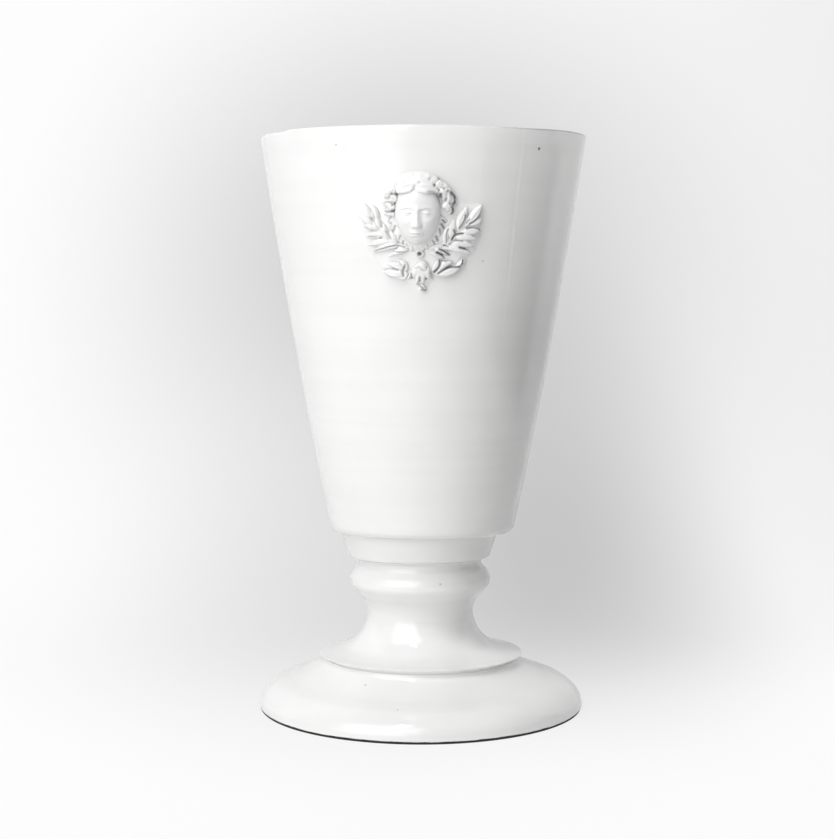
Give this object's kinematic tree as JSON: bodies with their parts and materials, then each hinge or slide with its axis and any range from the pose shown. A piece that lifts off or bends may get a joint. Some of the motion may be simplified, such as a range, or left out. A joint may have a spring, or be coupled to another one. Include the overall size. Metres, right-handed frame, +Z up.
{
  "type": "footed vase",
  "caption": "Tall flared beaker vase on a turned baluster stem and domed foot, white glazed earthenware with a laurel mask relief on its front.",
  "frame": {"origin": "centre of the foot's underside, on the surface that the vase stands on", "axes": "+Z up along the pedestal's axis, -Y out of the front, where the relief is, +X to the right as seen from the front"},
  "size_m": [0.161, 0.1637, 0.28],
  "materials": {
    "white_glaze": "glossy milky white glaze over dark clay, bare and dark along the foot's bottom edge",
    "relief_glaze": "the same white glaze, pooled and greyer in the hollows of the relief"
  },
  "bodies": {
    "root": {"foot_dome": "white_glaze", "baluster_stem": "white_glaze", "neck_collar": "white_glaze", "beaker_floor": "white_glaze", "beaker_wall": "white_glaze", "relief_pad": "relief_glaze", "mask_face": "relief_glaze", "hair_crown": "relief_glaze", "hair_curls_left": "relief_glaze", "hair_curls_right": "relief_glaze", "leaf_collar": "relief_glaze", "centre_boss": "relief_glaze", "calyx_centre": "relief_glaze", "pendant_bud": "relief_glaze", "acanthus_left": "relief_glaze", "acanthus_right": "relief_glaze", "laurel_spray_left": "relief_glaze", "laurel_spray_right": "relief_glaze"}
  },
  "joints": []
}
